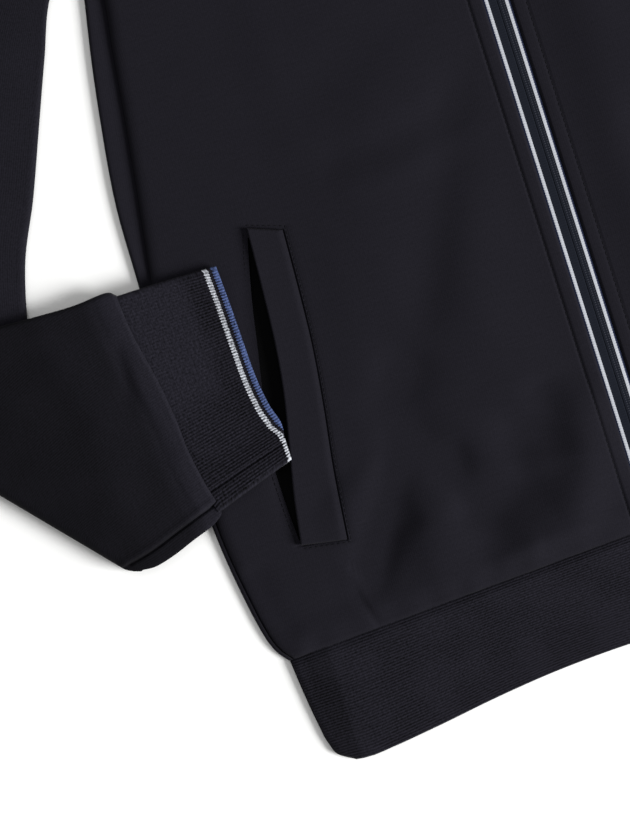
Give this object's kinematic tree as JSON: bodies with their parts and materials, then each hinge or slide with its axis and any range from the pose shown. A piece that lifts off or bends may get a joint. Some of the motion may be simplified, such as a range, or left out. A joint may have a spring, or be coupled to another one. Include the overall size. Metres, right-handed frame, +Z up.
{
  "type": "track jacket",
  "caption": "Zip-through track jacket in dark jersey with ribbed hem, tipped ribbed cuffs and welt pockets, laid flat with its sleeves folded over the front.",
  "frame": {"origin": "on the surface that the jacket lies on, below the middle of its bounding box, on the zip's line", "axes": "+X to the wearer's left, +Y from the hem to the collar, +Z up from the surface, out of the front"},
  "size_m": [0.8412, 0.7406, 0.0136],
  "materials": {
    "jersey": "smooth double-knit jersey, near-black navy, matte with a faint sheen",
    "rib": "rib knit, near-black navy, white and blue tipping at the cuff",
    "pocketing": "black woven pocketing, matte",
    "zip_tape": "woven navy zip tape with white edges",
    "zip_plastic": "moulded navy plastic",
    "zip_metal": "black enamelled zinc, satin"
  },
  "bodies": {
    "jacket": {"back": "jersey", "front_right": "jersey", "front_left": "jersey", "sleeve_right": "jersey", "sleeve_left": "jersey", "welt_right": "jersey", "welt_left": "jersey", "cuff_right": "rib", "cuff_left": "rib", "hem_band": "rib", "collar": "rib", "pocket_bag_right": "pocketing", "pocket_bag_left": "pocketing", "zip_tape_right": "zip_tape", "zip_tape_left": "zip_tape", "zip_coil": "zip_plastic", "zip_box": "zip_plastic", "zip_pin": "zip_plastic", "zip_stop_right": "zip_plastic", "zip_stop_left": "zip_plastic", "zip_slider": "zip_metal"},
    "pull_tab": {"zip_pull": "zip_metal"}
  },
  "joints": [
    {"name": "pull_tab_hinge", "type": "hinge", "parent": "jacket", "child": "pull_tab", "pos_m": [0, 0.30128, 0.0071], "axis": [-1, 0, 0], "range_deg": [0, 165]}
  ]
}
